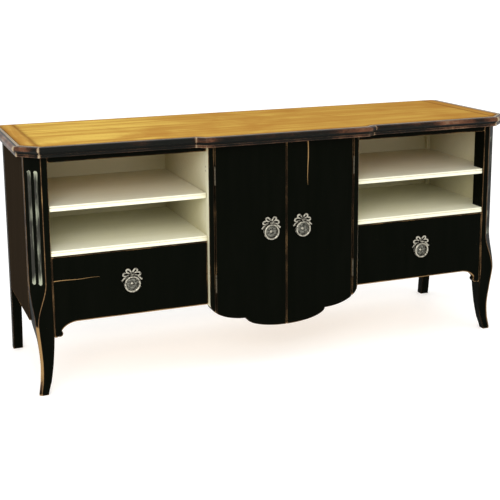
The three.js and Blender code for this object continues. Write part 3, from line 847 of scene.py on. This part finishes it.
def scalloped_board(stations, front, back, top, side):
    """A board with a scalloped foot, whose front may bow: front gives its Y at each X."""
    rings = []
    for x in stations:
        y, foot = front(x), scallop(x)
        rings.append([(side * x, y, foot), (side * x, y, top), (side * x, back, top), (side * x, back, foot)])
    return loft(rings)


def lobe_stations(inner, outer):
    """Places across, close together where the scallop is steep."""
    steps, closest = 28, 0.2
    turns = [math.pi / 2 * i / steps for i in range(steps + 1)]
    on_centre = [CUSP_X * math.sin(a) for a in turns]
    on_outer = [CUSP_X + (SCALLOP_OUTER - CUSP_X) * math.sin(a) for a in turns]
    between = [x for x in on_centre + on_outer[1:] if inner + closest < x < outer - closest]
    return [inner] + between + [outer]


def add_door(word, side):
    """A door whose front bows forward towards the middle, cream inside."""
    node = f"door_{word}"
    low, high = box_mm(node)
    inner, outer = off_middle(low, high)

    def bowed(x):
        return low.y + DOOR_BOW * (x / outer) ** 2

    shape = scalloped_board(lobe_stations(inner, outer), bowed, high.y, high.z, side)
    door = add_piece(f"{node}_shaped", shape, "black_paint", node, [node], bevel=1.4)
    paint_faces(door, "cream_paint", lambda normal, middle: normal.y > 0.9)


def add_stile(word, side):
    """The flat stile beside a door, cream where it faces the niche."""
    node = f"stile_{word}"
    low, high = box_mm(node)
    inner, outer = off_middle(low, high)
    half_way = (inner + outer) / 2
    shape = scalloped_board(lobe_stations(inner, outer), lambda x: low.y, high.y, high.z, side)
    stile = add_piece(f"{node}_shaped", shape, "black_paint", "cabinet", [node], bevel=1.6)

    def faces_niche(normal, middle):
        return abs(normal.x) > 0.95 and abs(middle.x) > half_way

    paint_faces(stile, "cream_paint", faces_niche)


def add_doors_and_stiles():
    for word, side in SIDES:
        add_door(word, side)
        add_stile(word, side)


# ---- Drawer fronts ----
WORN_EDGE = 4.5

# How far in from the leg and how far up from the front's lowest point its lower edge turns.
LEVEL_UP = 41.2
SWEEP_IN = 63.6
SWEEP_BEND_IN = 33.6
SCROLL_IN = 14.6
SCROLL_UP = 10
SCROLL_RADIUS = 9


def drawer_outline(low, high, inner, outer):
    """The front's outline, in two parts: its lower edge, which runs level and then sweeps down, and
    the rest, from the scroll by the leg round to the top."""
    edge = low.z + LEVEL_UP
    scroll = (outer - SCROLL_IN, low.z + SCROLL_UP)
    sweep_start = (outer - SWEEP_IN, edge)
    sweep_bend = (outer - SWEEP_BEND_IN, edge - 3)
    sweep_end = (scroll[0] - 5, scroll[1] + 8)
    lower_edge = [(inner, edge), sweep_start] + curve(sweep_start, sweep_bend, sweep_end, 12)
    scrolled = arc(scroll, SCROLL_RADIUS, 128, 300, 18)
    scrolled += [(outer - 6.6, low.z + 0.4), (outer, low.z)]
    return lower_edge, scrolled + [(outer, high.z), (inner, high.z)]


def add_drawer_fronts():
    """Fronts whose lower edge is rubbed, over WORN_EDGE of their face."""
    for word, side in SIDES:
        node = f"drawer_{word}_front"
        low, high = box_mm(node)
        lower_edge, rest = drawer_outline(low, high, *off_middle(low, high))
        rings = []
        for y, raise_by, rub in ((high.y, 0, 0), (low.y, 0, 0.95), (low.y, WORN_EDGE, 0)):
            ring = [(side * x, y, z + raise_by, rub) for x, z in lower_edge]
            rings.append(ring + [(side * x, y, z, 0) for x, z in rest])
        shape, body = loft(rings), f"drawer_{word}"
        front = add_piece(f"{node}_shaped", shape, "black_paint", body, [node], bevel=1.4, soft_angle=25)
        paint_faces(front, "bare_wood", lambda normal, middle: normal.y > 0.9)


# ---- Ring pulls ----
PLATE_RADIUS = 24
RING_RADIUS = 21.5
RING_WIRE = 2.8
PIVOT_RISE = 28.3
PIVOT_REACH = 9
LUG_STARTS = (-5, 3)
LUG_WIDTH = 2
DISH_RADIUS = 20
DISH_HEIGHT = 2.5


def dished_plate():
    """A round plate with a raised rim, fine rings and a boss."""
    profile = [(0, 0), (PLATE_RADIUS, 0), (PLATE_RADIUS, 1.8)]
    profile += [(23.3, 2.7), (22.0, 3.0), (20.6, 2.6), (19.6, 1.7), (18.0, 1.4), (16.4, 1.3)]
    profile += [(15.6, 1.9), (14.8, 2.1), (14.0, 1.3)]
    profile += [(11.6, 1.1), (9.6, 1.0), (8.9, 1.7), (8.0, 1.9), (7.2, 1.5), (6.6, 1.1)]
    profile += [(5.2, 1.3), (4.4, 2.4), (2.8, 3.6), (1.2, 4.1), (0, 4.2)]
    return turned(profile)


def ribbon_bow():
    """A tied ribbon: two open loops above the knot, two smaller ones beside it, and two tails."""
    high_loop = [(0, 29), (2.5, 34.5), (6, 40.5), (11.5, 43.5), (16, 41), (15, 35.5), (9, 32), (1, 29)]
    low_loop = [(0, 28), (8, 31.5), (16.5, 33.5), (24, 31), (25.5, 26), (20, 23), (12, 24.5), (1, 27)]
    tail = [(1, 26), (9, 22.5), (17, 19.5), (24, 15.5), (28.5, 10.5), (30, 13)]
    shapes = []
    for side in (-1, 1):
        for path, width, forward in ((high_loop, 5.4, 3.4), (low_loop, 5.0, 2.4), (tail, 5.6, 1.8)):
            smooth = smooth_path(path)
            last = len(smooth) - 1
            narrow = 0.45 if path is tail else 0.8
            widths = [width * (narrow + (1 - narrow) * math.sin(math.pi * i / last)) for i in range(last + 1)]
            band = ribbon(smooth, widths, 2.6)
            shapes.append(placed(band, (0, -forward, 0), side))
    return together(*shapes)


def square(left, right, bottom, top, y):
    return [(left, y, bottom), (right, y, bottom), (right, y, top), (left, y, top)]


def pull_plate():
    """The cast plate with its bow and knot, and the pin between two lugs that the ring hangs on."""
    knot = turned([(0, 0), (5.2, 0), (5.6, 2.4), (4.6, 4.6), (2.6, 6.0), (0, 6.4)], 28)
    pin = bar(-5.4, 5.4, 1.2)
    lugs = [bar(start, start + LUG_WIDTH, 3) for start in LUG_STARTS]
    arms = []
    for start in LUG_STARTS:
        arms.append(loft([square(start, start + LUG_WIDTH, -2, 2, y) for y in (-PIVOT_REACH, -1)]))
    at_pivot = (0, -PIVOT_REACH, PIVOT_RISE)
    shapes = [dished_plate(), ribbon_bow(), placed(knot, (0, 0, PIVOT_RISE)), placed(pin, at_pivot)]
    shapes += [placed(lug, at_pivot) for lug in lugs]
    shapes += [placed(arm, (0, 0, PIVOT_RISE)) for arm in arms]
    return together(*shapes)


def pull_ring():
    """The ring and, above it, the eye that turns on the plate's pin."""
    around, across, thinning = 72, 18, 0.12
    points, faces = [], []
    for i in range(around):
        turn = 2 * math.pi * i / around
        thick = RING_WIRE * (1 - thinning * max(0, math.sin(turn)))
        for j in range(across):
            lean = 2 * math.pi * j / across
            reach = RING_RADIUS + RING_WIRE - thick + thick * math.cos(lean)
            points.append((reach * math.cos(turn), thick * math.sin(lean), reach * math.sin(turn)))
            near, far = i * across, ((i + 1) % around) * across
            after = (j + 1) % across
            faces.append((near + j, near + after, far + after, far + j))
    neck_heights = ((RING_RADIUS, 2.3), (RING_RADIUS + 3.2, 1.6), (PIVOT_RISE, 1.8))
    neck = loft([level_circle(radius, z) for z, radius in neck_heights])
    eye = placed(bar(-2.6, 2.6, 2.9), (0, 0, PIVOT_RISE))
    return together((points, faces), neck, eye)


def level_circle(radius, z, segments=16):
    turns = [2 * math.pi * i / segments for i in range(segments)]
    return [(radius * math.cos(a), radius * math.sin(a), z) for a in turns]


def add_pulls():
    for word, _ in SIDES:
        for kind in ("door", "drawer"):
            plate_node, ring_node = f"{kind}_pull_{word}_plate", f"{kind}_pull_{word}_ring"
            low, high = box_mm(plate_node)
            at = ((low.x + high.x) / 2, high.y, low.z + PLATE_RADIUS)
            shape = placed(pull_plate(), at)
            plate = add_piece(f"{plate_node}_cast", shape, "pewter", f"{kind}_{word}", [plate_node])

            def in_dish(normal, middle, at=at):
                from_centre = math.hypot(middle.x - at[0], middle.z - at[2])
                return from_centre < DISH_RADIUS and at[1] - middle.y < DISH_HEIGHT

            paint_faces(plate, "dark_pewter", in_dish)
            low, high = box_mm(ring_node)
            at = ((low.x + high.x) / 2, (low.y + high.y) / 2, low.z + RING_RADIUS + RING_WIRE)
            body = f"{kind}_ring_{word}"
            add_piece(f"{ring_node}_cast", placed(pull_ring(), at), "pewter", body, [ring_node])


# ---- Small parts ----
SPLIT_PROUD = 0.15
CATCH_HEIGHTS = (613, 625)
CATCH_SETBACK = 9
PINS_FROM_FRONT = 75
PINS_FROM_BACK = 60
PINS_BELOW_SHELF = 2.7


def splinter(path, thickness):
    """A long thin split in the paint, on a line of (x, y, z, width), flush but for a hair."""
    rings = []
    for x, y, z, width in path:
        rings.append([
            (x - width / 2, y, z, 1),
            (x + width / 2, y, z, 1),
            (x + width / 2, y + thickness, z, 1),
            (x - width / 2, y + thickness, z, 1),
        ])
    return loft(rings)


def add_door_split():
    """The split that runs down from the right door's top, wavering a little."""
    low, high = box_mm("door_right")
    across, below_top, waver, wave = 70, 3, 1.2, 22
    front = low.y + DOOR_BOW * (across / high.x) ** 2 - SPLIT_PROUD
    widths = ((0, 3.0), (20, 2.6), (50, 2.8), (80, 1.9), (110, 1.2), (134, 0.4))
    path = []
    for down, width in widths:
        path.append((across + waver * math.sin(down / wave), front, high.z - below_top - down, width))
    add_piece("door_right_split", splinter(path, 1), "black_paint", "door_right")


def add_drawer_split():
    """The crack across the left drawer's outer end, which narrows inwards."""
    low = box_mm("drawer_left_front")[0]
    from_end, length, height, waver, steps = 3, 130, 165, 0.8, 12
    front, inside = low.y - SPLIT_PROUD, low.y + 1
    rings = []
    for i in range(steps + 1):
        share = i / steps
        x, z = low.x + from_end + length * share, low.z + height + waver * math.sin(9 * share)
        half = 0.9 * (1 - share) + 0.15
        corners = ((front, -half), (front, half), (inside, half), (inside, -half))
        rings.append([(x, y, z + up, 1) for y, up in corners])
    add_piece("drawer_left_split", loft(rings), "black_paint", "drawer_left")


def add_pin_holes():
    """The two small catch holes in each stile's cream side, as dark lined sockets."""
    socket = [(0, -4), (2.6, -4), (2.6, 0.1), (2.1, 0.25), (1.7, 0.1), (1.6, -3), (0, -3)]
    sideways = Matrix.Rotation(math.pi / 2, 3, "Z")
    points, faces = turned(socket, 20)
    shape = ([sideways @ Vector(point) for point in points], faces)
    for word, side in SIDES:
        low, high = box_mm(f"stile_{word}")
        face = off_middle(low, high)[1]
        sockets = []
        for height in CATCH_HEIGHTS:
            sockets.append(placed(shape, (side * face, high.y - CATCH_SETBACK, height), side))
        add_piece(f"stile_{word}_catch_holes", together(*sockets), "hinge_steel", "cabinet")


def add_shelf_pins():
    """Four round-nosed pins under each shelf, in the divider and in the panel."""
    profile = [(0, -6), (2.5, -6), (2.5, 7), (2.2, 8.2), (1.3, 8.9), (0, 9.1)]
    for word, side in SIDES:
        low, high = box_mm(f"shelf_{word}")
        inner, outer = off_middle(low, high)
        pins = []
        for y in (low.y + PINS_FROM_FRONT, high.y - PINS_FROM_BACK):
            for x, toward in ((inner, -1), (outer, 1)):
                turn = Matrix.Rotation(toward * math.pi / 2, 3, "Z")
                points, faces = turned(profile, 16)
                pin = ([turn @ Vector(point) for point in points], faces)
                pins.append(placed(pin, (side * x, y, low.z - PINS_BELOW_SHELF), side))
        add_piece(f"shelf_{word}_pins", together(*pins), "hinge_steel", "cabinet")


def add_back_screws():
    """Low screw heads with a round dimple, all round the back panel's edge."""
    low, high = box_mm("back_panel")
    inset, across, up = 14, 9, 3
    columns = [low.x + inset + (high.x - low.x - 2 * inset) * i / across for i in range(across + 1)]
    rows = [low.z + inset + (high.z - low.z - 2 * inset) * i / up for i in range(up + 1)]
    places = [(x, z) for x in columns for z in (rows[0], rows[-1])]
    places += [(x, z) for x in (columns[0], columns[-1]) for z in rows[1:-1]]
    head = [(0, -2), (3.6, -2), (3.6, 0.2), (3.0, 0.45), (1.4, 0.5), (1.2, 0.1), (0, 0.1)]
    points, faces = turned(head, 20)
    backward = ([(-x, -y, z) for x, y, z in points], faces)
    screws = [placed(backward, (x, high.y, z)) for x, z in places]
    add_piece("back_panel_screws", together(*screws), "hinge_steel", "cabinet")


# ---- Stage ----
def add_floor():
    """A wide pale floor that shines a little, to come out nearly white."""
    material, tree, shader = start_material("pale_floor", Specular_IOR_Level=0.05)
    tone = blend_colours(tree, noise(tree, 2), colour(231, 231, 230), colour(228, 228, 227))
    tree.links.new(tone, shader.inputs["Base Color"])
    shader.inputs["Emission Color"].default_value = (1, 1, 1, 1)
    shader.inputs["Emission Strength"].default_value = 0.38
    bpy.ops.mesh.primitive_plane_add(size=600)
    floor = bpy.context.object
    floor.name = "floor"
    floor.data.materials.append(material)


def add_light(name, power, size, place, target=(0, 0, 0.4)):
    """A soft lamp that faces the target. The power is in watts, the rest in metres."""
    light = bpy.data.lights.new(name, "AREA")
    light.energy = power
    light.shape = "RECTANGLE"
    light.size, light.size_y = size
    lamp = bpy.data.objects.new(name, light)
    bpy.context.scene.collection.objects.link(lamp)
    lamp.location = place
    lamp.rotation_euler = (Vector(target) - Vector(place)).to_track_quat("-Z", "Y").to_euler()


def add_studio():
    """Soft light from above, from the front and from the left, in a pale room."""
    world = bpy.data.worlds.new("studio")
    bpy.context.scene.world = world
    world.use_nodes = True
    world.node_tree.nodes["Background"].inputs["Color"].default_value = (1, 1, 1, 1)
    world.node_tree.nodes["Background"].inputs["Strength"].default_value = 1.0
    add_light("overhead", 12, (3.5, 2.5), (0.1, -1.5, 3.1))
    add_light("front", 38, (2.0, 1.2), (-1.5, -2.8, 1.9))
    add_light("left", 9, (1.5, 2.0), (-2.8, -2.6, 1.8))


def add_camera():
    """At about the photograph's viewing angle. It is tilted down and shifted only a little, so the
    uprights lean inwards slightly towards the floor."""
    camera = bpy.data.objects.new("camera", bpy.data.cameras.new("camera"))
    bpy.context.scene.collection.objects.link(camera)
    to_right, downward, roll = 0.3737, 0.1949, -0.0067
    camera.location = (-1.2044, -2.9836, 1.1837)
    turn = Matrix.Rotation(-to_right, 4, "Z") @ Matrix.Rotation(math.pi / 2 - downward, 4, "X")
    camera.rotation_euler = (turn @ Matrix.Rotation(roll, 4, "Z")).to_euler()
    camera.data.lens = 74.55
    camera.data.shift_y = -0.15
    bpy.context.scene.camera = camera
    bpy.context.scene.view_settings.view_transform = "Standard"


keep_boards()
add_mouldings()
add_front_legs()
add_back_legs()
add_bay_boards()
add_doors_and_stiles()
add_drawer_fronts()
add_pulls()
add_door_split()
add_drawer_split()
add_pin_holes()
add_shelf_pins()
add_back_screws()
add_floor()
add_studio()
add_camera()
